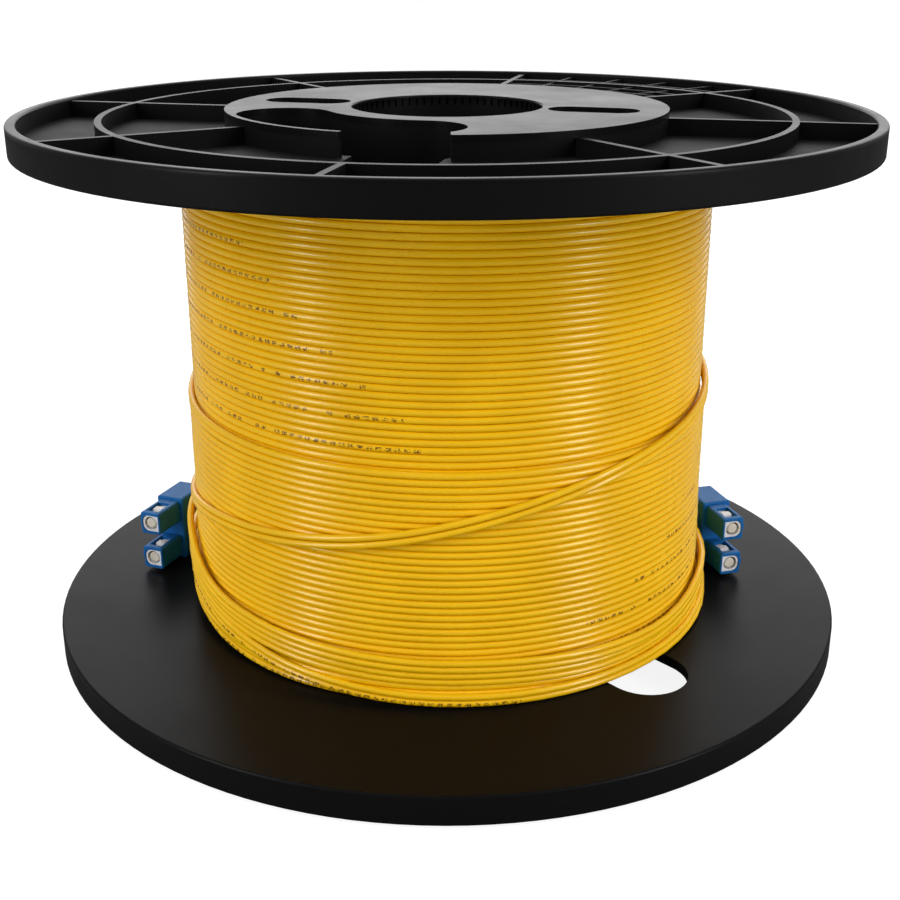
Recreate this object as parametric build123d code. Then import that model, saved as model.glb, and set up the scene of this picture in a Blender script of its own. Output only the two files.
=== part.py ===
"""Moulded reel of duplex optical-fibre cable, ended by two pairs of push-pull plugs.

Millimetres. The reel stands on its lower hub: the origin is on that face, on the spindle's axis.
+Z runs up the spindle, and the plugs point out of the front, which is -Y.
"""

import os
from math import cos, degrees, pi, radians, sin, tan

from build123d import *

os.makedirs("parts", exist_ok=True)

# Driving dimensions: the flanges
FLANGE_R = 127.0
RIM_HEIGHT = 9.0
RIM_WALL = 3.0
WEB = 3.3
TRAVERSE = 146.0
HUB_PROUD = 1.0
HUB_R = 66.0
HUB_PLATE = 3.0
EDGE_ROUND = 0.8
RIB = 2.0
RIB_DROP = 0.9
RING_RIB_R = 102.9
FIRST_RIB_ANGLE = 31.5
RIB_COUNT = 8
WINDOW_WIDTH = 25.0
WINDOW_END_R = 100.5
WINDOW_ANGLE = 258.0
LOWER_WINDOW_ANGLE = 311.8

# Driving dimensions: the hub's bore, drive slots and end pocket
BORE_R = 28.6
BOSS_WALL = 4.4
BOSS_DEPTH = 10.0
TOOTH_COUNT = 72
DRIVE_SLOT_R = 44.5
DRIVE_SLOT_LENGTH = 27.0
DRIVE_SLOT_WIDTH = 13.0
DRIVE_SLOT_ANGLE = -16.0
POCKET_MID_R = 50.8
POCKET_HALF_WIDTH = 13.6
POCKET_START = 204.0
POCKET_END = 261.0
POCKET_MOUTH = (245.0, 271.0)
POCKET_DEPTH = 24.0
SKIN = 1.4

# Driving dimensions: the barrel, the spindle tube and the cable wound on them
BARREL_R = HUB_R
BARREL_WALL = 2.5
TUBE_R = 27.3
TUBE_WALL = 2.9
TUBE_SEAT = 1.0
STRAND = 2.0
FIT_GAP = 0.1

LOWER_FACE = HUB_PROUD + RIM_HEIGHT
UPPER_FACE = LOWER_FACE + TRAVERSE
WEB_FLOOR = WEB
HUB_TOP = RIM_HEIGHT + HUB_PROUD
RIB_TOP = RIM_HEIGHT - RIB_DROP

# The wound cable's outer radius, from each height up to the next
WINDING_STEPS = (
    (LOWER_FACE, 86.0),
    (24.0, 84.4),
    (40.0, 82.9),
    (54.0, 82.2),
    (80.0, 81.3),
    (89.0, 80.2),
)

# Driving dimensions: one plug, along its own +X from its front face at 0
PLUG_PITCH = 12.7
PLUG_LOW_HEIGHT = 14.9
SHELL_WIDTH = 7.4
SHELL_HEIGHT = 7.8
SHELL_LENGTH = 24.0
FRAME_WIDTH = 5.9
FRAME_HEIGHT = 5.6
SHOULDER_TOP = SHELL_HEIGHT / 2 - 0.4
FRAME_FRONT = -0.3
FRAME_BACK = -21.0
FRAME_BORE_R = 2.4
FRAME_SEAT = -12.0
FRAME_CAVITY_R = 2.3
D_ROUND = 2.2
FERRULE_R = 1.25
FERRULE_TIP = -2.0
FERRULE_BACK = -13.0
CAP_R = 1.8
CAP_BORE_R = 1.28
CORD_START = -29.0
COLLAR_R = 2.4
BOOT_R = 2.7
BOOT_FRONT = -22.0
BOOT_BACK = -48.0
CLIP_FRONT = -12.5
CLIP_BACK = -26.5
CLIP_WALL = 1.4
CLIP_ROOF = 0.9

# Where each pair's front face stands, and which way it points, in plan
PAIRS = {
    "left": {"front": (-100.6, 2.5), "turn": -111.2, "roll": 180.0},
    "right": {"front": (95.9, -2.0), "turn": -73.7, "roll": 0.0},
}
LEVELS = {"lower": PLUG_LOW_HEIGHT, "upper": PLUG_LOW_HEIGHT + PLUG_PITCH}

# The cable's two ends, as angle, distance from the axis and height of the pair's middle.
# Each strand of the pair keeps half a pitch off it, and the halves part near the plugs.
RIGHT_END = (
    (34.0, 80.5, 96.5),
    (10.0, 83.2, 93.5),
    (-12.0, 85.0, 92.0),
    (-34.0, 85.6, 82.5),
    (-57.0, 85.8, 75.5),
    (-80.0, 85.9, 68.5),
    (-103.0, 86.0, 61.0),
    (-126.0, 86.2, 57.0),
    (-150.0, 86.4, 55.5),
    (-174.0, 86.4, 52.0),
    (-198.0, 86.5, 47.0),
    (-222.0, 86.8, 41.5),
    (-246.0, 87.2, 36.0),
    (-270.0, 88.0, 31.0),
    (-290.0, 89.2, 27.4),
    (-308.0, 94.0, 24.0),
)
LEFT_END = (
    (60.0, 84.0, 15.0),
    (80.0, 87.0, 15.6),
    (100.0, 88.6, 17.0),
    (121.0, 94.0, 19.2),
)
STRAND_PITCH = 2.2
STRAIGHT_TAIL = 10.0
FORK = {"left": (0.0, 0.15, 0.5, 0.85), "right": (0.0,) * 11 + (0.1, 0.3, 0.55, 0.78, 0.94)}
ENDS = {"left": LEFT_END, "right": RIGHT_END}

nodes = {}


def ring(outer, inner, low, high):
    """A flat-ended tube about Z between two heights."""
    return Pos(0, 0, low) * extrude(Circle(outer) - Circle(inner), high - low)


def disc(radius, low, high):
    """A solid cylinder about Z between two heights."""
    return Pos(0, 0, low) * extrude(Circle(radius), high - low)


def block(x0, x1, y0, y1, z0, z1):
    """A box given by its lowest and highest corners."""
    size = Box(x1 - x0, y1 - y0, z1 - z0)
    return Pos((x0 + x1) / 2, (y0 + y1) / 2, (z0 + z1) / 2) * size


def polar(radius, angle, height=0.0):
    """A point given by its distance from the axis, its angle in degrees and its height."""
    return (radius * cos(radians(angle)), radius * sin(radians(angle)), height)


def sector(radius, start, end, low, high):
    """A wedge of less than half a turn, wide enough to hold everything within radius."""
    far = radius / cos(radians((end - start) / 2))
    corners = [(0, 0), polar(far, start)[:2], polar(far, end)[:2]]
    return Pos(0, 0, low) * extrude(make_face(Polyline(*corners, close=True)), high - low)


def radial_bar(start, end, angle, width, low, high):
    """A straight rib from one radius to another."""
    return Rot(0, 0, angle) * block(start, end, -width / 2, width / 2, low, high)


def pocket_space(grow, low, high):
    """The curved end pocket's space between two heights, grown all round by a wall."""
    half = POCKET_HALF_WIDTH + grow
    band = ring(POCKET_MID_R + half, POCKET_MID_R - half, low, high)
    space = band & sector(90, POCKET_START, POCKET_END, low, high)
    for angle in (POCKET_START, POCKET_END):
        space += Pos(*polar(POCKET_MID_R, angle)) * disc(half, low, high)
    return space


def drive_slot_space(angle, grow, low, high):
    """A round-ended radial slot between two heights, grown all round by a wall."""
    outline = SlotOverall(DRIVE_SLOT_LENGTH + 2 * grow, DRIVE_SLOT_WIDTH + 2 * grow)
    return Rot(0, 0, angle) * Pos(DRIVE_SLOT_R, 0, low) * extrude(outline, high - low)


def flange_web():
    """The disc and its rim, with the winding side at zero."""
    rim = ring(FLANGE_R, FLANGE_R - RIM_WALL, 0, RIM_HEIGHT)
    rim = fillet(rim.edges().filter_by(GeomType.CIRCLE), EDGE_ROUND)
    web = ring(FLANGE_R - RIM_WALL / 2, HUB_R - 1, 0, WEB)
    end = WINDOW_END_R - WINDOW_WIDTH / 2
    window = radial_bar(HUB_R - 8, end, WINDOW_ANGLE, WINDOW_WIDTH, -1, WEB + 1)
    window += Pos(*polar(end, WINDOW_ANGLE)) * disc(WINDOW_WIDTH / 2, -1, WEB + 1)
    return rim + web, window


def flange_ribs():
    """The ring rib, the eight radial ribs and the fine grid between two of them."""
    ribs = ring(RING_RIB_R, RING_RIB_R - RIB, WEB - 0.5, RIB_TOP)
    rim_inside = FLANGE_R - RIM_WALL / 2
    step = 360 / RIB_COUNT
    for index in range(RIB_COUNT):
        angle = FIRST_RIB_ANGLE + step * index
        over_window = abs(angle - WINDOW_ANGLE) < step / 2
        start = RING_RIB_R - RIB / 2 if over_window else HUB_R - 1
        ribs += radial_bar(start, rim_inside, angle, RIB, WEB - 0.5, RIB_TOP)
    grid_top = RIB_TOP - 0.5
    fine = RIB * 0.6
    grid_start, grid_end = FIRST_RIB_ANGLE, FIRST_RIB_ANGLE + step
    for index in range(1, 5):
        angle = grid_start + step * index / 5
        ribs += radial_bar(HUB_R - 1, rim_inside, angle, fine, WEB - 0.5, grid_top)
    wedge = sector(FLANGE_R, grid_start, grid_end, WEB - 0.5, grid_top)
    for radius in (76.0, 85.0, 94.0, 110.5):
        ribs += ring(radius, radius - fine, WEB - 0.5, grid_top) & wedge
    return ribs


def flange_hub():
    """The raised hub: its wall, top plate, bore boss, drive slots and end pocket."""
    spigot_out = BARREL_R - BARREL_WALL - FIT_GAP
    hub = ring(HUB_R, spigot_out - SKIN, 0, HUB_TOP)
    hub += ring(spigot_out, spigot_out - SKIN, -8, 1)
    plate = ring(HUB_R, BORE_R, HUB_TOP - HUB_PLATE, HUB_TOP)
    hub += fillet(plate.edges().group_by(Axis.Z)[-1], 0.5)
    hub += ring(BORE_R + BOSS_WALL, BORE_R, -TUBE_SEAT, HUB_TOP - 1)
    seat_r = TUBE_R + TUBE_WALL + FIT_GAP / 2
    hub += ring(BORE_R + BOSS_WALL, seat_r, -BOSS_DEPTH, -TUBE_SEAT + 0.01)
    for angle in (DRIVE_SLOT_ANGLE, DRIVE_SLOT_ANGLE + 180):
        skirt = drive_slot_space(angle, SKIN, -6, HUB_TOP - 1)
        hub += skirt - disc(BORE_R + BOSS_WALL / 2, -7, HUB_TOP)
    floor = HUB_TOP - POCKET_DEPTH
    cup = pocket_space(SKIN, floor - SKIN, HUB_TOP - 1)
    hub += cup & disc(spigot_out, floor - SKIN, HUB_TOP)
    for angle in (DRIVE_SLOT_ANGLE, DRIVE_SLOT_ANGLE + 180):
        hub -= drive_slot_space(angle, 0, -7, HUB_TOP + 1)
    hub -= pocket_space(0, floor, HUB_TOP + 1) & disc(spigot_out - SKIN, floor, HUB_TOP + 1)
    hub -= pocket_space(0, WEB, HUB_TOP + 1)
    mouth = ring(HUB_R + 1, POCKET_MID_R, WEB, HUB_TOP + 1)
    hub -= mouth & sector(90, *POCKET_MOUTH, WEB, HUB_TOP + 1)
    tooth = Pos(BORE_R + 0.1, 0, HUB_TOP - 2) * Box(0.9, 0.9, 2.2)
    hub -= [Rot(0, 0, 360 / TOOTH_COUNT * index) * tooth for index in range(TOOTH_COUNT)]
    return hub


def flange():
    """One whole flange, with its winding side at zero and its hub standing up."""
    disc_part, window = flange_web()
    return disc_part + flange_ribs() + flange_hub() - window


def reel():
    """The two flanges, the barrel between them and the tube that takes the spindle."""
    moulding = flange()
    flipped = Rot(0, 0, LOWER_WINDOW_ANGLE + WINDOW_ANGLE) * Rot(180, 0, 0)
    nodes["upper_flange"] = Pos(0, 0, UPPER_FACE) * moulding
    nodes["lower_flange"] = Pos(0, 0, LOWER_FACE) * flipped * moulding
    nodes["winding_barrel"] = ring(BARREL_R, BARREL_R - BARREL_WALL, LOWER_FACE, UPPER_FACE)
    tube_low, tube_high = LOWER_FACE + TUBE_SEAT, UPPER_FACE - TUBE_SEAT
    nodes["spindle_tube"] = ring(TUBE_R + TUBE_WALL, TUBE_R, tube_low, tube_high)


def wound_cable():
    """The wound cable's outer shape: a stepped sleeve that fills the reel's width."""
    inner = BARREL_R + 0.02
    heights = [step[0] for step in WINDING_STEPS] + [UPPER_FACE]
    outline = [(inner, heights[0])]
    for (low, radius), high in zip(WINDING_STEPS, heights[1:]):
        outline += [(radius, low), (radius, high)]
    outline.append((inner, heights[-1]))
    profile = make_face(Polyline(*[(r, 0, z) for r, z in outline], close=True))
    nodes["cable_winding"] = revolve(profile, Axis.Z)


def bar_section(width, height, start, end, rounding):
    """A bar along X with all four long edges rounded."""
    outline = RectangleRounded(width, height, rounding)
    return Plane.YZ.offset(start) * extrude(outline, end - start)


def d_section(width, height, start, end, rounding):
    """A bar along X whose two long edges on +Y are well rounded."""
    bar = block(start, end, -width / 2, width / 2, -height / 2, height / 2)
    far = [e for e in bar.edges().filter_by(Axis.X) if e.center().Y > 0]
    return fillet(far, rounding)


def rod(radius, start, end):
    """A round bar along X."""
    return Plane.YZ.offset(start) * extrude(Circle(radius), end - start)


def pipe(outer, inner, start, end):
    """A round tube along X."""
    return Plane.YZ.offset(start) * extrude(Circle(outer) - Circle(inner), end - start)


def plug_shell():
    """The sliding grip, with a window above and below and a key along one side."""
    shell = bar_section(SHELL_WIDTH, SHELL_HEIGHT, -SHELL_LENGTH, 0, 0.9)
    shell = chamfer(shell.edges().group_by(Axis.X)[-1], 0.3)
    key_top = SHELL_WIDTH / 2 + 0.9
    shell += block(-11.5, -1.2, SHELL_WIDTH / 2 - 0.5, key_top, -1.1, 1.1)
    for groove in range(5):
        front = -13.5 - 1.6 * groove
        for side in (-1, 1):
            middle = side * SHELL_WIDTH / 2
            shell -= block(front - 0.7, front, middle - 0.3, middle + 0.3, -3.2, 3.2)
    gap = 2 * FIT_GAP
    shell -= d_section(
        FRAME_WIDTH + gap, FRAME_HEIGHT + gap, -SHELL_LENGTH - 1, 1, D_ROUND + FIT_GAP
    )
    for side in (-1, 1):
        low, high = sorted((side * 2.5, side * 5.0))
        shell -= block(-9.2, -1.9, -2.3, 2.3, low, high)
    return shell


def plug_frame():
    """The white inner frame: a D-fronted body with a latch shoulder above and below."""
    frame = d_section(FRAME_WIDTH, FRAME_HEIGHT, FRAME_BACK, FRAME_FRONT, D_ROUND)
    for side in (-1, 1):
        low, high = sorted((side * (FRAME_HEIGHT / 2 - 0.4), side * SHOULDER_TOP))
        shoulder = block(-7.4, -4.4, -1.5, 1.5, low, high)
        edge = [e for e in shoulder.edges().filter_by(Axis.Y) if abs(e.center().Z) > 3]
        frame += chamfer(edge, 0.4)
    frame -= rod(FRAME_BORE_R, -10.0, 1)
    frame -= rod(FERRULE_R + 0.35, FRAME_SEAT - 1, -9)
    frame -= rod(FRAME_CAVITY_R, FRAME_BACK - 1, FRAME_SEAT)
    return frame


def ferrule():
    """The ceramic ferrule, with its chamfered tip."""
    body = rod(FERRULE_R, FERRULE_BACK, FERRULE_TIP)
    return chamfer(body.edges().group_by(Axis.X)[-1], 0.3)


def ferrule_holder():
    """The metal collar that holds the ferrule and takes the spring's push."""
    holder = rod(2.0, -15.4, FRAME_SEAT - 0.2) + rod(1.2, -17.0, -15.3)
    return holder - rod(FERRULE_R, FERRULE_BACK, FRAME_SEAT) - rod(0.5, -18, -12)


def spring():
    """The coil that pushes the ferrule forward."""
    length, turns, radius, wire = 3.3, 5, 1.75, 0.2
    helix = Helix(pitch=length / turns, height=length, radius=radius)
    section = Plane(origin=helix @ 0, z_dir=helix % 0) * Circle(wire)
    coil = sweep(section, path=helix)
    return Pos(-15.6 - wire - length, 0, 0) * Rot(0, 90, 0) * coil


def rear_body():
    """The turned body that closes the frame and takes the crimp."""
    body = rod(FRAME_CAVITY_R, -21.0, -19.4) + rod(COLLAR_R, -24.0, -21.0)
    body += rod(1.6, -29.0, -24.0)
    return body - rod(1.0, -30.0, -19.0)


def crimp_ring():
    """The crimped sleeve over the rear body and the cable's jacket."""
    ring_body = pipe(2.0, 1.6, CORD_START, -24.2) + pipe(2.0, STRAND / 2, -33.0, CORD_START)
    return ring_body


def boot():
    """The tapered bend relief, slit by grooves so that it flexes."""
    profile = Polyline(
        (BOOT_FRONT, 0),
        (BOOT_FRONT, BOOT_R),
        (-33, BOOT_R - 0.1),
        (BOOT_BACK, 1.7),
        (BOOT_BACK, 0),
        close=True,
    )
    body = revolve(make_face(profile), Axis.X)
    for groove in range(6):
        back = -36.0 - 2.0 * groove
        body -= pipe(4, 1.35, back, back + 0.7)
    body -= rod(COLLAR_R, -24.0, BOOT_FRONT + 1)
    body -= rod(2.05, -33.2, -23.9)
    return body - rod(STRAND / 2 + 0.05, BOOT_BACK - 1, -33.1)


def dust_cap():
    """The cap pushed over the ferrule's tip."""
    cap = rod(CAP_R, -8.0, -0.6)
    cap = fillet(cap.edges().group_by(Axis.X)[-1], 0.4)
    return cap - rod(CAP_BORE_R, -9.0, -1.8)


def duplex_clip():
    """The block that holds two plug shells side by side."""
    width = SHELL_WIDTH + 2 * CLIP_WALL
    height = SHELL_HEIGHT + PLUG_PITCH + 2 * CLIP_ROOF
    clip = bar_section(width, height, CLIP_BACK, CLIP_FRONT, 1.0)
    clip = chamfer(clip.edges().group_by(Axis.X)[-1], 0.5)
    for level in (-PLUG_PITCH / 2, PLUG_PITCH / 2):
        hole = bar_section(SHELL_WIDTH, SHELL_HEIGHT, CLIP_BACK - 1, CLIP_FRONT + 1, 0.9)
        clip -= Pos(0, 0, level) * hole
    return clip


PLUG_PIECES = {
    "shell": plug_shell,
    "frame": plug_frame,
    "ferrule": ferrule,
    "ferrule_holder": ferrule_holder,
    "spring": spring,
    "rear_body": rear_body,
    "crimp_ring": crimp_ring,
    "boot": boot,
    "dust_cap": dust_cap,
}


def plug_place(side, height):
    """Where a plug's own origin goes: the middle of its front face."""
    pair = PAIRS[side]
    return Pos(*pair["front"], height) * Rot(0, 0, pair["turn"]) * Rot(pair["roll"], 0, 0)


def plugs():
    """Four plugs, each of nine pieces, and a clip for each pair."""
    pieces = {name: make() for name, make in PLUG_PIECES.items()}
    clip = duplex_clip()
    for side in PAIRS:
        for level, height in LEVELS.items():
            place = plug_place(side, height)
            for name, piece in pieces.items():
                nodes[f"{side}_{level}_{name}"] = place * piece
        middle = sum(LEVELS.values()) / 2
        nodes[f"{side}_duplex_clip"] = plug_place(side, middle) * clip


def strand_route(side, level):
    """One strand from where it leaves the winding to the plug's crimp."""
    sign = 1 if level == "upper" else -1
    route = []
    for (angle, radius, height), parting in zip(ENDS[side], FORK[side]):
        offset = STRAND_PITCH / 2 + parting * (PLUG_PITCH - STRAND_PITCH) / 2
        route.append(polar(radius, angle, height + sign * offset))
    pair = PAIRS[side]
    for back in (BOOT_BACK - STRAIGHT_TAIL, CORD_START):
        x = pair["front"][0] + back * cos(radians(pair["turn"]))
        y = pair["front"][1] + back * sin(radians(pair["turn"]))
        route.append((x, y, LEVELS[level]))
    return route


def tube_along(name, route):
    """A round tube on straight runs joined by tangent arcs, with its size printed."""
    points = [Vector(*point) for point in route]
    runs = [b - a for a, b in zip(points, points[1:])]
    turns = [radians(a.get_angle(b)) for a, b in zip(runs, runs[1:])]
    radii = [
        0.45 * min(a.length, b.length) / tan(turn / 2)
        for a, b, turn in zip(runs, runs[1:], turns)
    ]
    path = FilletPolyline(*points, radius=radii)
    start = Plane(origin=points[0], z_dir=runs[0])
    tube = sweep(start * Circle(STRAND / 2), path=path)
    share = tube.volume / (path.length * pi * (STRAND / 2) ** 2)
    print(name, "length", round(path.length, 1), "volume share", round(share, 4))
    print("  runs", [round(run.length, 1) for run in runs])
    print("  turns", [round(degrees(turn), 1) for turn in turns])
    print("  radii", [round(radius, 1) for radius in radii])
    return tube


def cable_ends():
    """The two strands of each cable end, from the winding to their plugs."""
    for side in PAIRS:
        for level in LEVELS:
            name = f"{side}_{level}_strand"
            nodes[name] = tube_along(name, strand_route(side, level))


reel()
wound_cable()
plugs()
cable_ends()
for node_name, shape in nodes.items():
    shape.label = node_name
    export_step(shape, f"parts/{node_name}.step")
print(len(nodes), "nodes written")
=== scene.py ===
# %% [markdown]
# # A reel of duplex fibre cable
# The reel is two moulded black flanges on a drum, wound with yellow duplex cable.
# Each end of the cable has a pair of blue push-pull plugs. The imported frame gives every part
# its true place, so this lesson only adds what the eye needs: the wound turns, the loose ends,
# the finishes, the light and the camera.

# %% Load the frame
import math

import bpy
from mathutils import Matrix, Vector


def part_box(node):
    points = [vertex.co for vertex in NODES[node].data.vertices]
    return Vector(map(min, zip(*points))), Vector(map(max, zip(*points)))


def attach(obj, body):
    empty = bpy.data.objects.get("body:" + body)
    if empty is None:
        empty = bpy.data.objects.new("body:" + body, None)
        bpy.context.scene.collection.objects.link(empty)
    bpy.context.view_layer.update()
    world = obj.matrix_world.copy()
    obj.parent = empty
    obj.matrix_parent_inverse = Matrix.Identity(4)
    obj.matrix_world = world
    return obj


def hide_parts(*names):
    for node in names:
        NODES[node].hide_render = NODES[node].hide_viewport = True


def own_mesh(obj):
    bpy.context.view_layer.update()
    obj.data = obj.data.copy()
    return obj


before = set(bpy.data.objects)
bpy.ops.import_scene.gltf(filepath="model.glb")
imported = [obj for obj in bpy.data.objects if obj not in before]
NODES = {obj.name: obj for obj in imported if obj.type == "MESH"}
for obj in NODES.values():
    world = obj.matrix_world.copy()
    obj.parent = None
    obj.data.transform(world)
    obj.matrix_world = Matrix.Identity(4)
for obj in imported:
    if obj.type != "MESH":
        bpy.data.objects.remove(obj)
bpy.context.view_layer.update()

MM = 0.001

# %% [markdown]
# A few heights are read off the frame: the two flange faces that the cable is wound between,
# and the top of the reel. Working from these keeps the turns between the flanges. The places
# of the loose ends and turns are in millimetres from the spindle and the floor.

# %% Read the sizes that the rest is built from
winding_low, winding_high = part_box("cable_winding")
LOWER_FACE = winding_low.z
UPPER_FACE = winding_high.z
REEL_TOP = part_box("upper_flange")[1].z
STRAND_R = 1.0 * MM
print("turns lie between", round(LOWER_FACE, 4), "and", round(UPPER_FACE, 4))


def round_the_axis(radius, degrees, height):
    """A point given by its distance from the spindle, its bearing and its height."""
    bearing = math.radians(degrees)
    return Vector((radius * math.cos(bearing), radius * math.sin(bearing), height))


# %% [markdown]
# The camera looks at the front of the reel from a little above, with a normal lens from
# about 40 cm away. A reel seen this close shows strong perspective, so the distance matters
# as much as the angle.

# %% Place the camera
CAMERA_SIDE = 0.9 * MM
CAMERA_AWAY = 408.1 * MM
CAMERA_HEIGHT = 211.5 * MM
AIM_HEIGHT = 55.3 * MM
LENS = 53.05
camera_data = bpy.data.cameras.new("camera")
camera_data.lens = LENS
camera_data.sensor_width = 36.0
camera_data.clip_start = 0.01
camera = bpy.data.objects.new("camera", camera_data)
bpy.context.scene.collection.objects.link(camera)
camera.location = (CAMERA_SIDE, -CAMERA_AWAY, CAMERA_HEIGHT)
aim = Vector((CAMERA_SIDE, 0, AIM_HEIGHT)) - camera.location
camera.rotation_mode = "QUATERNION"
camera.rotation_quaternion = aim.to_track_quat("-Z", "Y")
bpy.context.scene.camera = camera
print("camera looks down by", round(math.degrees(math.asin(-aim.normalized().z)), 2), "degrees")

# %% [markdown]
# The reel is shown as catalogues show such things: on a white sweep, in even light. A large
# soft source behind and another above make the flat black tops glow where they are seen edge
# on, and two tall side sources leave long streaks down the cable. The floor glows a little for
# the camera alone, so it stays white without throwing light up under the flanges.

# %% Build the floor, the sky and the lamps
scene = bpy.context.scene
scene.view_settings.view_transform = "Standard"


def seen_glow(tree, glow, rest=0.0):
    """A strength that is raised by the glow, but only where the camera looks directly."""
    rays = tree.nodes.new("ShaderNodeLightPath")
    strength = tree.nodes.new("ShaderNodeMath")
    strength.operation = "MULTIPLY_ADD"
    strength.inputs[1].default_value = glow
    strength.inputs[2].default_value = rest
    tree.links.new(rays.outputs["Is Camera Ray"], strength.inputs[0])
    return strength.outputs[0]


def floor_material(colour=0.3, glow=0.88):
    """A dull pale sheet that also glows for the camera."""
    material = bpy.data.materials.new("pale_floor")
    material.use_nodes = True
    tree = material.node_tree
    shader = tree.nodes["Principled BSDF"]
    shader.inputs["Base Color"].default_value = (colour, colour, colour, 1)
    shader.inputs["Roughness"].default_value = 0.9
    shader.inputs["Specular IOR Level"].default_value = 0.0
    shader.inputs["Emission Color"].default_value = (1, 1, 1, 1)
    tree.links.new(seen_glow(tree, glow), shader.inputs["Emission Strength"])
    return material


def make_floor(reach=12.0):
    """A wide flat sheet under the reel."""
    mesh = bpy.data.meshes.new("floor")
    corners = [(-reach, -reach, 0), (reach, -reach, 0), (reach, reach, 0), (-reach, reach, 0)]
    mesh.from_pydata(corners, [], [(0, 1, 2, 3)])
    floor = bpy.data.objects.new("floor", mesh)
    scene.collection.objects.link(floor)
    floor.location.z = -0.0002
    mesh.materials.append(floor_material())
    return floor


def make_lamp(name, place, target, size, power):
    """A soft rectangular lamp that faces a point."""
    data = bpy.data.lights.new(name, "AREA")
    data.shape = "RECTANGLE"
    data.size, data.size_y = size
    data.energy = power
    lamp = bpy.data.objects.new(name, data)
    scene.collection.objects.link(lamp)
    lamp.location = place
    lamp.rotation_mode = "QUATERNION"
    lamp.rotation_quaternion = (Vector(target) - Vector(place)).to_track_quat("-Z", "Y")
    return lamp


make_floor()
world = bpy.data.worlds.new("white_room")
world.use_nodes = True
sky = world.node_tree.nodes["Background"]
sky.inputs["Color"].default_value = (1, 1, 1, 1)
world.node_tree.links.new(seen_glow(world.node_tree, 0.6, 0.42), sky.inputs["Strength"])
scene.world = world
middle = (0, 0, 0.08)
make_lamp("top_lamp", (0, 0.25, 1.1), middle, (1.4, 1.0), 8)
make_lamp("back_lamp", (0, 1.6, 0.75), middle, (2.5, 1.2), 14)
make_lamp("left_lamp", (-0.79, -0.5, 0.35), middle, (0.14, 0.9), 5.2)
make_lamp("right_lamp", (0.79, -0.5, 0.35), middle, (0.14, 0.9), 5.9)

# %% [markdown]
# A finish is a small tree of nodes. The helper below makes the tree's start, and small
# helpers wire the common pieces: noise for grain, a ramp to set its contrast, a bump. Every
# pattern reads the object's own coordinates, which are true lengths here, so a noise scale of
# 1000 is a grain of about a millimetre.

# %% Make the node helpers


class Wiring:
    """Short ways to add nodes to a tree and to join them."""

    def __init__(self, tree):
        self.tree = tree

    def node(self, kind, **settings):
        made = self.tree.nodes.new(kind)
        for key, value in settings.items():
            setattr(made, key, value)
        return made

    def feed(self, socket, value):
        """Join another node's output to the socket, or set the socket to a plain value."""
        if isinstance(value, bpy.types.NodeSocket):
            self.tree.links.new(value, socket)
        else:
            socket.default_value = value

    def math(self, kind, first, second=0.0):
        made = self.node("ShaderNodeMath", operation=kind)
        self.feed(made.inputs[0], first)
        self.feed(made.inputs[1], second)
        return made.outputs[0]


class Finish(Wiring):
    """One material under construction: its tree, its shader and the common patterns."""

    def __init__(self, name, colour, roughness):
        self.material = bpy.data.materials.new(name)
        self.material.use_nodes = True
        super().__init__(self.material.node_tree)
        self.shader = self.tree.nodes["Principled BSDF"]
        self.set("Base Color", (*colour, 1))
        self.set("Roughness", roughness)
        self.place = self.node("ShaderNodeTexCoord").outputs["Object"]

    def set(self, name, value):
        """Give one of the shader's own inputs a value or a pattern."""
        self.feed(self.shader.inputs[name], value)

    def noise(self, scale, detail=2.0, roughness=0.5):
        made = self.node("ShaderNodeTexNoise")
        made.inputs["Scale"].default_value = scale
        made.inputs["Detail"].default_value = detail
        made.inputs["Roughness"].default_value = roughness
        self.feed(made.inputs["Vector"], self.place)
        return made.outputs["Fac"]

    def ranged(self, value, from_low, from_high, to_low, to_high):
        made = self.node("ShaderNodeMapRange")
        self.feed(made.inputs["Value"], value)
        for name, number in (
            ("From Min", from_low),
            ("From Max", from_high),
            ("To Min", to_low),
            ("To Max", to_high),
        ):
            made.inputs[name].default_value = number
        return made.outputs["Result"]

    def mix(self, share, first, second):
        made = self.node("ShaderNodeMix", data_type="RGBA")
        self.feed(made.inputs["Factor"], share)
        for name, colour in (("A_Color", first), ("B_Color", second)):
            socket = next(s for s in made.inputs if s.identifier == name)
            self.feed(socket, (*colour, 1) if isinstance(colour, tuple) else colour)
        return next(s for s in made.outputs if s.identifier == "Result_Color")

    def bump(self, height, distance):
        made = self.node("ShaderNodeBump")
        self.feed(made.inputs["Distance"], distance)
        self.feed(made.inputs["Height"], height)
        self.set("Normal", made.outputs["Normal"])


def paint(material, *names):
    """Give CAD nodes a finish in place of their plain one."""
    for name in names:
        mesh = NODES[name].data
        mesh.materials.clear()
        mesh.materials.append(material)
    print(material.name, "on", len(names), "nodes")


# %% [markdown]
# The flanges are moulded in black plastic from a spark-eroded tool. That leaves a fine even
# grain, which breaks up reflections. The hub plate and the rib tops come from a smoother face
# of the tool and are rubbed by stacking, so they are smoother, and shine pale when seen edge
# on. Faint scuffs and dust lighten the black here and there.

# %% Finish for the moulded reel


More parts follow.
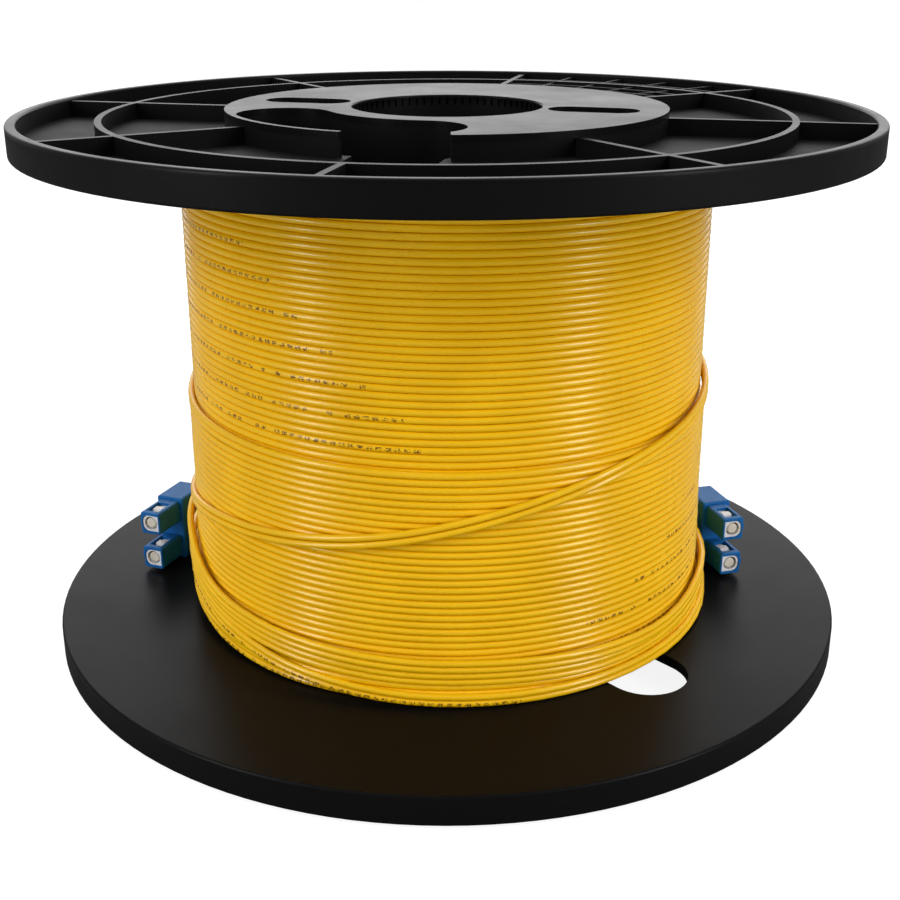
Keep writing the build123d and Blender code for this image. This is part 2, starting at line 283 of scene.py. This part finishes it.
def moulded_black():
    finish = Finish("reel_moulded_black", (0.004, 0.004, 0.0043), 0.42)
    finish.set("Specular IOR Level", 0.07)
    height = finish.node("ShaderNodeSeparateXYZ")
    finish.feed(height.inputs[0], finish.place)
    up = height.outputs["Z"]
    top_face = finish.ranged(up, REEL_TOP - 0.0023, REEL_TOP - 0.0018, 0, 1)
    low_face = finish.ranged(up, LOWER_FACE - 0.0012, LOWER_FACE - 0.0004, 0, 1)
    low_half = finish.ranged(up, REEL_TOP / 2, REEL_TOP / 2 + 0.01, 1, 0)
    smooth = finish.math("MAXIMUM", top_face, finish.math("MULTIPLY", low_face, low_half))
    worn = finish.ranged(finish.noise(38, 5.0, 0.65), 0.35, 0.75, 0.0, 0.09)
    rough = finish.ranged(smooth, 0, 1, 0.5, 0.3)
    finish.set("Roughness", finish.math("ADD", rough, worn))
    dust = finish.ranged(finish.noise(420, 6.0, 0.7), 0.62, 0.8, 0.0, 0.35)
    finish.set("Base Color", finish.mix(dust, (0.0038, 0.0038, 0.0041), (0.014, 0.0135, 0.013)))
    depth = finish.ranged(smooth, 0, 1, 0.00006, 0.000015)
    finish.bump(finish.noise(2600, 3.0, 0.6), depth)
    return finish.material


reel_black = moulded_black()
paint(reel_black, "upper_flange", "lower_flange", "winding_barrel", "spindle_tube")

# %% [markdown]
# The cable's jacket is extruded yellow plastic with a satin skin. On one strand of each pair
# a run of marks is printed every metre. On a part for everyone these are made of uneven
# strokes in letter-sized cells, with gaps, so that they say nothing. The pattern needs to know
# where it is on the strand, so each wound strand carries four numbers on its points: its run
# in metres, its turn round the strand from 0 to 1, whether it is the printed strand, and
# whether the print shows on that stretch.

# %% Finish for the cable's jacket
MARK_EVERY = 1.0047
PRINT_SHARE = 0.2
CELL = 0.0026
STROKE = 0.00042
MARK_HALF_TURN = 0.085
STROKE_TURN = 0.0425
LETTER_SHARE = 0.66
EMPTY_CELLS = 0.16
EMPTY_STROKES = 0.42
INK_STRENGTH = 0.85


def random_cell(finish, first, second):
    """A random number for each whole-numbered cell of a grid."""
    grid = finish.node("ShaderNodeCombineXYZ")
    finish.feed(grid.inputs[0], finish.math("FLOOR", first))
    finish.feed(grid.inputs[1], finish.math("FLOOR", second))
    dice = finish.node("ShaderNodeTexWhiteNoise", noise_dimensions="2D")
    finish.feed(dice.inputs["Vector"], grid.outputs[0])
    return dice.outputs["Value"]


def printed_marks(finish):
    """1 where the jacket is inked, from what its points store."""
    run, around, printed, shown = [
        finish.node("ShaderNodeAttribute", attribute_name=name).outputs["Fac"]
        for name in ("run", "around", "printed", "shown")
    ]
    metre = finish.math("FRACT", finish.math("DIVIDE", run, MARK_EVERY))
    cell = finish.math("DIVIDE", run, CELL)
    strokes = random_cell(
        finish,
        finish.math("DIVIDE", run, STROKE),
        finish.math("DIVIDE", around, STROKE_TURN),
    )
    from_front = finish.math("ABSOLUTE", finish.math("SUBTRACT", around, 0.5))
    inked = finish.math("MULTIPLY", printed, shown)
    for test in (
        finish.math("LESS_THAN", metre, PRINT_SHARE),
        finish.math("GREATER_THAN", random_cell(finish, cell, 0.0), EMPTY_CELLS),
        finish.math("LESS_THAN", finish.math("FRACT", cell), LETTER_SHARE),
        finish.math("GREATER_THAN", strokes, EMPTY_STROKES),
        finish.math("LESS_THAN", from_front, MARK_HALF_TURN),
    ):
        inked = finish.math("MULTIPLY", inked, test)
    return inked


def jacket():
    finish = Finish("jacket_yellow", (0.87, 0.48, 0.004), 0.34)
    finish.set("Specular IOR Level", 0.45)
    blotch = finish.ranged(finish.noise(60, 3.0), 0.3, 0.7, 0.0, 1.0)
    skin = finish.mix(blotch, (0.88, 0.50, 0.001), (0.94, 0.55, 0.003))
    ink = finish.math("MULTIPLY", printed_marks(finish), INK_STRENGTH)
    finish.set("Base Color", finish.mix(ink, skin, (0.12, 0.036, 0.002)))
    finish.set("Roughness", finish.ranged(finish.noise(45), 0.3, 0.7, 0.23, 0.29))
    finish.bump(finish.noise(420), 0.000008)
    return finish.material


jacket_yellow = jacket()
print("jacket finish made")

# %% [markdown]
# The plugs are moulded in two plastics. The shells and clips are a glossy blue, slightly
# darker in the grooves. The frames are white, and the caps a milky natural plastic that lets a
# little light in. The boots are softer and duller, so that they can bend.

# %% Finishes for the plugs


def moulded_gloss(name, low, high, roughness, grain_depth):
    """Glossy moulded plastic with a faint flow pattern and a fine skin."""
    finish = Finish(name, high, roughness)
    flow = finish.ranged(finish.noise(240, 4.0, 0.6), 0.3, 0.7, 0.0, 1.0)
    finish.set("Base Color", finish.mix(flow, low, high))
    rough = finish.ranged(finish.noise(1500, 3.0), 0.3, 0.7, roughness - 0.05, roughness + 0.08)
    finish.set("Roughness", rough)
    finish.bump(finish.noise(3800, 3.0), grain_depth)
    finish.set("Specular IOR Level", 0.14)
    return finish


shell_blue = moulded_gloss("shell_blue", (0.007, 0.10, 0.34), (0.011, 0.14, 0.42), 0.42, 2e-5)
boot_blue = moulded_gloss("boot_blue", (0.012, 0.09, 0.29), (0.017, 0.12, 0.36), 0.55, 5e-5)
frame_white = moulded_gloss("frame_white", (0.70, 0.72, 0.76), (0.84, 0.85, 0.87), 0.35, 2e-5)
cap_natural = moulded_gloss("cap_natural", (0.62, 0.57, 0.48), (0.78, 0.74, 0.65), 0.45, 3e-5)
cap_natural.set("Subsurface Weight", 0.3)
cap_natural.set("Subsurface Radius", (0.001, 0.0008, 0.0006))
ceramic = moulded_gloss("ferrule_ceramic", (0.82, 0.81, 0.77), (0.90, 0.89, 0.86), 0.12, 2e-6)


def turned_metal(name, colour, roughness):
    """Bright metal with the fine rings that a lathe or a die leaves."""
    finish = Finish(name, colour, roughness)
    finish.set("Metallic", 1.0)
    finish.bump(finish.noise(5200), 4e-6)
    tone = finish.ranged(finish.noise(300, 4.0), 0.3, 0.7, 0.0, 1.0)
    dull = tuple(0.8 * c for c in colour)
    finish.set("Base Color", finish.mix(tone, dull, colour))
    return finish


collar_metal = turned_metal("collar_metal", (0.62, 0.59, 0.54), 0.28)
spring_steel = turned_metal("spring_steel", (0.55, 0.55, 0.56), 0.2)
PLUG_FINISHES = {
    "shell": shell_blue,
    "frame": frame_white,
    "ferrule": ceramic,
    "ferrule_holder": collar_metal,
    "spring": spring_steel,
    "rear_body": collar_metal,
    "crimp_ring": collar_metal,
    "boot": boot_blue,
    "dust_cap": cap_natural,
}
SIDES = ("left", "right")
LEVELS = ("lower", "upper")
for part, finish in PLUG_FINISHES.items():
    paint(finish.material, *[f"{side}_{level}_{part}" for side in SIDES for level in LEVELS])
paint(shell_blue.material, "left_duplex_clip", "right_duplex_clip")

# %% [markdown]
# Inside each plug a small spring pushes the ferrule forward. When the ferrule is pressed back
# by 0.8 mm the spring gets shorter, which a rigid part can't do. A copy of each spring
# stands in for it on the reel, and the frame's own spring is hidden.

# %% Copy the plugs' springs
PLUG_FRONTS = {"left": (-100.6, 2.5, -111.2), "right": (95.9, -2.0, -73.7)}
PLUG_HEIGHTS = {"lower": 14.9, "upper": 27.6}


def in_the_plug(side, level, along):
    """A point on a plug's axis, by how far it lies from the plug's front face."""
    front_x, front_y, turn = PLUG_FRONTS[side]
    x = front_x + along * math.cos(math.radians(turn))
    y = front_y + along * math.sin(math.radians(turn))
    return Vector((x, y, PLUG_HEIGHTS[level])) * MM


def shortening_spring(side, level):
    """A copy of a plug's spring, put on the reel in its place."""
    name = f"{side}_{level}"
    mesh = NODES[f"{name}_spring"].data.copy()
    spring = bpy.data.objects.new(f"{name}_pressed_spring", mesh)
    scene.collection.objects.link(spring)
    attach(spring, "reel")
    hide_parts(f"{name}_spring")
    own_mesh(spring)
    return spring


SPRINGS = {(side, level): shortening_spring(side, level) for side in SIDES for level in LEVELS}
print(len(SPRINGS), "springs shorten with their ferrules")

# %% [markdown]
# Four strands leave the winding and end in plugs, two on each side. Each is a loose cord of a
# fixed length, so it is one smooth spline through listed places: a bearing round the
# spindle, a distance from it and a height. The two strands of an end lie one above the other,
# and part where the duplex clip holds their plugs further apart.

# %% Lay the four loose cable ends
RIGHT_END = (
    (34, 78.4, 95.0),
    (10, 82.4, 88.4),
    (-12, 83.2, 83.8),
    (-34, 84.4, 80.2),
    (-57, 84.8, 75.0),
    (-80, 84.8, 67.4),
    (-103, 84.8, 59.6),
    (-126, 84.6, 54.8),
    (-150, 84.4, 51.6),
    (-172, 84.2, 47.2),
    (-198, 85.2, 44.2),
    (-222, 86.6, 40.5),
    (-246, 87.2, 36.0),
    (-270, 88.0, 31.0),
    (-290, 89.2, 27.4),
    (-308, 94.0, 24.0),
)
LEFT_END = (
    (60, 84.6, 16.2),
    (80, 87.0, 16.6),
    (100, 88.6, 17.6),
    (121, 94.0, 19.2),
)
CABLE_ENDS = {
    "left": {"route": LEFT_END, "fork": (0.0, 0.15, 0.5, 0.85)},
    "right": {"route": RIGHT_END, "fork": (0.0,) * 11 + (0.1, 0.3, 0.55, 0.78, 0.94)},
}
STRAND_PITCH = 2.2
PLUG_PITCH = 12.7
BEHIND_BOOT = -58.0
IN_THE_CRIMP = -29.0


def strand_route(side, level):
    """The places that one strand passes, in metres, from the winding to its plug."""
    sign = 1 if level == "upper" else -1
    end = CABLE_ENDS[side]
    route = []
    for (bearing, radius, height), parting in zip(end["route"], end["fork"]):
        offset = STRAND_PITCH / 2 + parting * (PLUG_PITCH - STRAND_PITCH) / 2
        route.append(round_the_axis(radius * MM, bearing, (height + sign * offset) * MM))
    route += [in_the_plug(side, level, back) for back in (BEHIND_BOOT, IN_THE_CRIMP)]
    return route


def smooth_line(name, points, resolution):
    """An open spline that runs smoothly along the points."""
    curve = bpy.data.curves.new(name, "CURVE")
    curve.dimensions = "3D"
    curve.resolution_u = resolution
    spline = curve.splines.new("NURBS")
    spline.points.add(len(points) - 1)
    for place, point in zip(spline.points, points):
        place.co = (*point, 1)
    spline.order_u = 3
    spline.use_endpoint_u = True
    line = bpy.data.objects.new(name, curve)
    scene.collection.objects.link(line)
    return line


def lay_cord(side, level, clip):
    """One loose strand, a round cord along its route, with the plug pieces on its end."""
    name = f"{side}_{level}"
    route = strand_route(side, level)
    cord = smooth_line(f"{name}_cord", route, 16)
    cord.data.bevel_depth = STRAND_R
    cord.data.bevel_resolution = 4
    cord.data.use_fill_caps = True
    cord.data.materials.append(jacket_yellow)
    pieces = [NODES[f"{name}_{part}"] for part in PLUG_FINISHES if part != "spring"]
    pieces.append(SPRINGS[side, level])
    if clip:
        pieces.append(NODES[f"{side}_duplex_clip"])
    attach(cord, "reel")
    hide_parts(f"{name}_strand")


for side in SIDES:
    lay_cord(side, "lower", clip=True)
    lay_cord(side, "upper", clip=False)

# %% [markdown]
# Everything wound on the drum is the same duplex cable: two round strands moulded edge to
# edge. It could be swept by hand turn by turn, but a tree of Geometry Nodes does it for any
# line it is given. It carries two circles along the line, one above the other, lets the pair
# wander and roll a little as wound cable does, and stores on the points what the jacket's
# finish wants to know.

# %% Build the tree that lays a pair of strands along a line
PROFILE_POINTS = 12
UP_SIDE = 1.0


class PairTree(Wiring):
    """The nodes that turn a line into a pair of strands."""

    def __init__(self):
        group = bpy.data.node_groups.new("lay_pair", "GeometryNodeTree")
        group.is_modifier = True
        super().__init__(group)
        for name, kind, default in (
            ("Line", "NodeSocketGeometry", None),
            ("Strand radius", "NodeSocketFloat", STRAND_R),
            ("Pair spacing", "NodeSocketFloat", 2 * STRAND_R),
            ("Wander", "NodeSocketFloat", 0.0001),
            ("Roll", "NodeSocketFloat", 0.1),
            ("Run at the start", "NodeSocketFloat", 0.0),
            ("Print shows from", "NodeSocketFloat", 0.0),
            ("Seed", "NodeSocketInt", 0),
            ("Finish", "NodeSocketMaterial", None),
        ):
            socket = group.interface.new_socket(name=name, in_out="INPUT", socket_type=kind)
            if default is not None:
                socket.default_value = default
        group.interface.new_socket(name="Pair", in_out="OUTPUT", socket_type="NodeSocketGeometry")
        self.given = self.node("NodeGroupInput").outputs
        self.build()

    def drift(self, run, salt):
        """A slow random number about zero that changes along the run."""
        noise = self.node("ShaderNodeTexNoise", noise_dimensions="1D")
        shifted = self.math("ADD", run, self.math("MULTIPLY", self.given["Seed"], 7.3 + salt))
        self.feed(noise.inputs["W"], shifted)
        noise.inputs["Scale"].default_value = 16.0
        noise.inputs["Detail"].default_value = 1.5
        return self.math("SUBTRACT", self.math("MULTIPLY", noise.outputs["Fac"], 2.0), 1.0)

    def store(self, geometry, name, value):
        kept = self.node("GeometryNodeStoreNamedAttribute", data_type="FLOAT", domain="POINT")
        self.feed(kept.inputs["Geometry"], geometry)
        kept.inputs["Name"].default_value = name
        self.feed(kept.inputs["Value"], value)
        return kept.outputs["Geometry"]

    def wandering_line(self):
        """The given line, shaken a little outwards and up and down, with its run stored."""
        even = self.node("GeometryNodeResampleCurve", mode="EVALUATED")
        self.feed(even.inputs["Curve"], self.given["Line"])
        length = self.node("GeometryNodeSplineParameter").outputs["Length"]
        run = self.math("ADD", length, self.given["Run at the start"])
        flat = self.node("ShaderNodeVectorMath", operation="MULTIPLY")
        self.feed(flat.inputs[0], self.node("GeometryNodeInputPosition").outputs[0])
        flat.inputs[1].default_value = (1, 1, 0)
        outwards = self.node("ShaderNodeVectorMath", operation="NORMALIZE")
        self.feed(outwards.inputs[0], flat.outputs[0])
        push = self.node("ShaderNodeVectorMath", operation="SCALE")
        self.feed(push.inputs[0], outwards.outputs[0])
        wander = self.given["Wander"]
        self.feed(push.inputs["Scale"], self.math("MULTIPLY", self.drift(run, 0.0), wander))
        lift = self.node("ShaderNodeCombineXYZ")
        self.feed(lift.inputs["Z"], self.math("MULTIPLY", self.drift(run, 3.1), wander))
        offset = self.node("ShaderNodeVectorMath", operation="ADD")
        self.feed(offset.inputs[0], push.outputs[0])
        self.feed(offset.inputs[1], lift.outputs[0])
        shown = self.math("GREATER_THAN", length, self.given["Print shows from"])
        marked = self.store(self.store(even.outputs["Curve"], "run", run), "shown", shown)
        moved = self.node("GeometryNodeSetPosition")
        self.feed(moved.inputs["Geometry"], marked)
        self.feed(moved.inputs["Offset"], offset.outputs[0])
        upright = self.node("GeometryNodeSetCurveNormal", mode="Z_UP")
        self.feed(upright.inputs["Curve"], moved.outputs["Geometry"])
        rolled = self.node("GeometryNodeSetCurveTilt")
        self.feed(rolled.inputs["Curve"], upright.outputs["Curve"])
        roll = self.math("MULTIPLY", self.drift(run, 5.7), self.given["Roll"])
        self.feed(rolled.inputs["Tilt"], roll)
        return rolled.outputs["Curve"]

    def strand_outline(self, side, printed):
        """One circle of the pair's outline, half the spacing up or down."""
        circle = self.node("GeometryNodeCurvePrimitiveCircle", mode="RADIUS")
        circle.inputs["Resolution"].default_value = PROFILE_POINTS
        self.feed(circle.inputs["Radius"], self.given["Strand radius"])
        index = self.node("GeometryNodeInputIndex").outputs[0]
        from_outside = self.math("DIVIDE", index, float(PROFILE_POINTS))
        around = self.math("FRACT", self.math("ADD", from_outside, 0.5))
        outline = self.store(circle.outputs["Curve"], "around", around)
        outline = self.store(outline, "printed", printed)
        placed = self.node("GeometryNodeTransform")
        self.feed(placed.inputs["Geometry"], outline)
        place = self.node("ShaderNodeCombineXYZ")
        self.feed(place.inputs["Y"], self.math("MULTIPLY", self.given["Pair spacing"], side / 2))
        self.feed(placed.inputs["Translation"], place.outputs[0])
        return placed.outputs["Geometry"]

    def build(self):
        outline = self.node("GeometryNodeJoinGeometry")
        self.feed(outline.inputs[0], self.strand_outline(UP_SIDE, 1.0))
        self.feed(outline.inputs[0], self.strand_outline(-UP_SIDE, 0.0))
        swept = self.node("GeometryNodeCurveToMesh")
        self.feed(swept.inputs["Curve"], self.wandering_line())
        self.feed(swept.inputs["Profile Curve"], outline.outputs[0])
        swept.inputs["Fill Caps"].default_value = True
        smooth = self.node("GeometryNodeSetShadeSmooth")
        self.feed(smooth.inputs["Geometry"], swept.outputs["Mesh"])
        real = self.node("GeometryNodeRealizeInstances")
        self.feed(real.inputs["Geometry"], smooth.outputs["Geometry"])
        finish = self.node("GeometryNodeSetMaterial")
        self.feed(finish.inputs["Geometry"], real.outputs["Geometry"])
        self.feed(finish.inputs["Material"], self.given["Finish"])
        result = self.node("NodeGroupOutput")
        self.feed(result.inputs["Pair"], finish.outputs["Geometry"])


pair_tree = PairTree().tree
print("pair tree has", len(pair_tree.nodes), "nodes")


def wind_pair(name, points, run_at_start, seed, **looks):
    """A wound stretch of duplex cable along the points, as a plain mesh on the reel."""
    line = smooth_line(f"{name}_line", points, 4)
    modifier = line.modifiers.new("lay_pair", "NODES")
    modifier.node_group = pair_tree
    given = {"Run at the start": run_at_start, "Seed": seed, "Finish": jacket_yellow, **looks}
    for item in pair_tree.interface.items_tree:
        if item.in_out == "INPUT" and item.name in given:
            modifier[item.identifier] = given[item.name]
    bpy.context.view_layer.update()
    graph = bpy.context.evaluated_depsgraph_get()
    mesh = bpy.data.meshes.new_from_object(line.evaluated_get(graph))
    mesh.name = name
    line.modifiers.remove(modifier)
    bpy.data.objects.remove(line)
    wound = bpy.data.objects.new(name, mesh)
    scene.collection.objects.link(wound)
    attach(wound, "reel")
    print(name, "has", len(mesh.polygons), "faces and", [a.name for a in mesh.attributes][-4:])
    return wound


# %% [markdown]
# The cable was wound down the drum, one pair under the last, about 4.2 mm a turn. What shows
# above is the layer that ends part way down. The last layer starts over it there, and swells
# towards the lower flange, where more turns were crowded in. A spline runs a little inside
# its points, so the points of a coil stand out by that share.

# %% Wind the turns that show
PAIR_PITCH = 4.24 * MM
STEPS_PER_TURN = 24
UPPER_LAYER_R = 79.2 * MM
LOWER_LAYER_R = 80.9 * MM
SWELL = 0.6 * MM
SWELL_FROM = 56 * MM
SWELL_OVER = 28 * MM
FIRST_TURN_BELOW = 2.1 * MM
WOUND_LOOKS = {
    "Strand radius": 1.05 * MM,
    "Pair spacing": PAIR_PITCH / 2,
    "Wander": 0.05 * MM,
    "Roll": 0.06,
}
UPPER_RUN = 0.31
LOWER_RUN = 0.186


def lower_layer_radius(height):
    """How far out the last layer lies at a height: more towards the bottom."""
    share = min(1.0, max(0.0, (SWELL_FROM - height) / SWELL_OVER))
    return LOWER_LAYER_R + SWELL * share * share * (3 - 2 * share)


def coil(turns, bearing, height, radius_at):
    """Points of a coil that goes down by the cable's pitch at every turn."""
    stand_out = 1 / math.cos(math.pi / STEPS_PER_TURN)
    points = []
    for step in range(round(turns * STEPS_PER_TURN) + 1):
        here = height - PAIR_PITCH * step / STEPS_PER_TURN
        degrees = bearing + 360 * step / STEPS_PER_TURN
        points.append(round_the_axis(radius_at(here) * stand_out, degrees, here))
    return points


upper_turns = coil(18.6, -67.6, UPPER_FACE - FIRST_TURN_BELOW, lambda height: UPPER_LAYER_R)
wind_pair("upper_wound_turns", upper_turns, UPPER_RUN, seed=1, **WOUND_LOOKS)

STEP_DOWN = (
    (-232, 77.4, 94.0),
    (-218, 79.4, 91.2),
    (-204, 80.8, 87.6),
    (-190, 81.2, 84.0),
    (-175, 81.5, 80.8),
    (-163, 81.6, 79.2),
    (-150, 81.6, 78.6),
    (-134, 81.6, 78.3),
)
last_layer = [round_the_axis(r * MM, bearing, z * MM) for bearing, r, z in STEP_DOWN]
last_layer += coil(14.6, -119, 78.0 * MM, lower_layer_radius)
wind_pair("lower_wound_turns", last_layer, LOWER_RUN, seed=2, **WOUND_LOOKS)

# %% [markdown]
# The very last turns lie loose over the bottom of the winding. One pair comes down steeply on
# the left, then goes round five times, each round a little lower, until it leans on the
# flange. The third round crosses over the next two, so it stands further out there, and the
# fifth runs beneath it. Loose turns keep to no rule, so each round is listed: a height
# at each of the same few bearings.

# %% Lay the loose turns at the bottom
LOOSE_R = 84.5
TUCKED_IN = 0.3
LOOSE_LEAD = ((-204, 79.8, 43.5), (-191, 82.0, 42.0), (-178, 84.0, 39.8))
LOOSE_BEARINGS = (-166, -154, -140, -121, -100, -79, -58, -36, -14, 10, 40, 70, 100, 130, 155, 176)
LOOSE_HEIGHTS = (
    (37.0, 29.2, 26.0, 24.0, 23.0, 22.7, 20.6, 19.8, 24.6, 23.4, 23.6, 24.2, 24.3, 25.4, 27.6, 30.4),
    (31.0, 25.4, 22.2, 19.9, 18.9, 18.7, 16.7, 17.6, 20.5, 19.3, 19.6, 20.1, 20.3, 21.4, 23.2, 25.0),
    (24.6, 22.0, 18.9, 15.0, 12.7, 12.1, 12.1, 12.2, 13.0, 15.2, 15.8, 16.1, 16.3, 17.4, 18.4, 18.8),
    (18.4, 17.2, 16.0, 15.3, 15.0, 14.8, 13.0, 14.2, 16.2, 13.8, 12.3, 12.1, 12.3, 13.2, 14.6, 15.8),
    (16.3, 14.9, 12.9, 12.1, 12.1, 12.1, 12.1, 12.1, 12.1, 12.8, 14.4),
)
OVER_ROUND, OVER_BY = 2, 1.2
OVER_FROM, OVER_TO = -150, 30
UNDER_ROUND, UNDER_BY = 4, 1.1
UNDER_FROM, UNDER_TO = -110, 30
LOOSE_END = (60, 84.6, 16.2)
LOOSE_RUN = 0.958
LOOSE_LOOKS = {"Wander": 0.15 * MM, "Roll": 0.25, "Print shows from": 1.1}


def loose_places():
    """Bearing, distance and height of each listed point, in order."""
    places = list(LOOSE_LEAD)
    for turn, heights in enumerate(LOOSE_HEIGHTS):
        for bearing, height in zip(LOOSE_BEARINGS, heights):
            out = 0.0
            if turn == OVER_ROUND and OVER_FROM < bearing < OVER_TO:
                out = OVER_BY
            if turn == UNDER_ROUND and UNDER_FROM < bearing < UNDER_TO:
                out = -UNDER_BY
            places.append((bearing + 360 * turn, LOOSE_R - TUCKED_IN * turn + out, height))
    end_bearing, radius, height = LOOSE_END
    places.append((end_bearing + 360 * UNDER_ROUND, radius, height))
    return places


def loose_turns():
    """The points of the loose turns, each standing out by what the spline cuts off."""
    places = loose_places()
    bearings = [place[0] for place in places]
    before = bearings[:1] + bearings[:-1]
    after = bearings[1:] + bearings[-1:]
    points = []
    for (bearing, radius, height), low, high in zip(places, before, after):
        stand_out = 1 / math.cos(math.radians((high - low) / 4))
        points.append(round_the_axis(radius * MM * stand_out, bearing, height * MM))
    return points


wind_pair("loose_turns", loose_turns(), LOOSE_RUN, seed=3, **LOOSE_LOOKS)

# %% [markdown]
# Between the strands, a little of the layers beneath shows. The inside of the winding is one
# turned body with a scalloped outline, a scallop for each strand, which stands in for the
# few hundred turns that nobody sees. Its top and bottom carry the ends of the layers, which
# show through the windows in the flanges.

# %% Turn the inside of the winding
SCALLOP = 2.12 * MM
SCALLOP_POINTS = 5
LAYER_STEP = 1.8 * MM
CORE_STEPS = 96
FACE_GAP = 1.1 * MM
BARREL_GAP = 0.05 * MM
barrel_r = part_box("winding_barrel")[1].x


def scallops(start, end, outward):
    """Outline points of a row of strands between two places, bulging to one side."""
    count = max(1, round((end - start).length / SCALLOP))
    step = (end - start) / count
    points = []
    for index in range(count):
        middle = start + step * (index + 0.5)
        for part in range(SCALLOP_POINTS):
            angle = math.pi * (part + 0.5) / SCALLOP_POINTS
            along = -math.cos(angle) * step / 2
            points.append(middle + along + outward * math.sin(angle) * step.length / 2)
    return points


def core_outline():
    """The inside's outline as distance from the axis and height, from the top inner corner."""
    top, bottom = UPPER_FACE - FACE_GAP, LOWER_FACE + FACE_GAP
    inner = barrel_r + BARREL_GAP
    shoulder = UPPER_LAYER_R - LAYER_STEP
    belly = lower_layer_radius(bottom) - LAYER_STEP
    corners = [
        Vector((inner, top)),
        Vector((shoulder, top)),
        Vector((shoulder, SWELL_FROM + 20 * MM)),
        Vector((LOWER_LAYER_R - LAYER_STEP, SWELL_FROM + 18 * MM)),
        Vector((LOWER_LAYER_R - LAYER_STEP, SWELL_FROM - 6 * MM)),
        Vector((belly, SWELL_FROM - SWELL_OVER)),
        Vector((belly, bottom)),
        Vector((inner, bottom)),
    ]
    outline = [corners[0]]
    for start, end in zip(corners, corners[1:]):
        along = (end - start).normalized()
        outline += scallops(start, end, Vector((-along.y, along.x)))
    outline.append(corners[-1])
    return outline


def turn_core():
    """The winding's inside, turned about the spindle from its outline."""
    outline = core_outline()
    vertices = []
    for step in range(CORE_STEPS):
        for radius, height in outline:
            vertices.append(round_the_axis(radius, 360 * step / CORE_STEPS, height))
    size = len(outline)
    faces = []
    for step in range(CORE_STEPS):
        here, there = step * size, ((step + 1) % CORE_STEPS) * size
        for index in range(size):
            after = (index + 1) % size
            faces.append((here + index, here + after, there + after, there + index))
    mesh = bpy.data.meshes.new("winding_inside")
    mesh.from_pydata(vertices, [], faces)
    mesh.shade_smooth()
    mesh.materials.append(jacket_yellow)
    core = bpy.data.objects.new("winding_inside", mesh)
    scene.collection.objects.link(core)
    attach(core, "reel")
    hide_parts("cable_winding")
    print("winding inside has", len(faces), "faces")
    return core


turn_core()

# %% End
print("done")
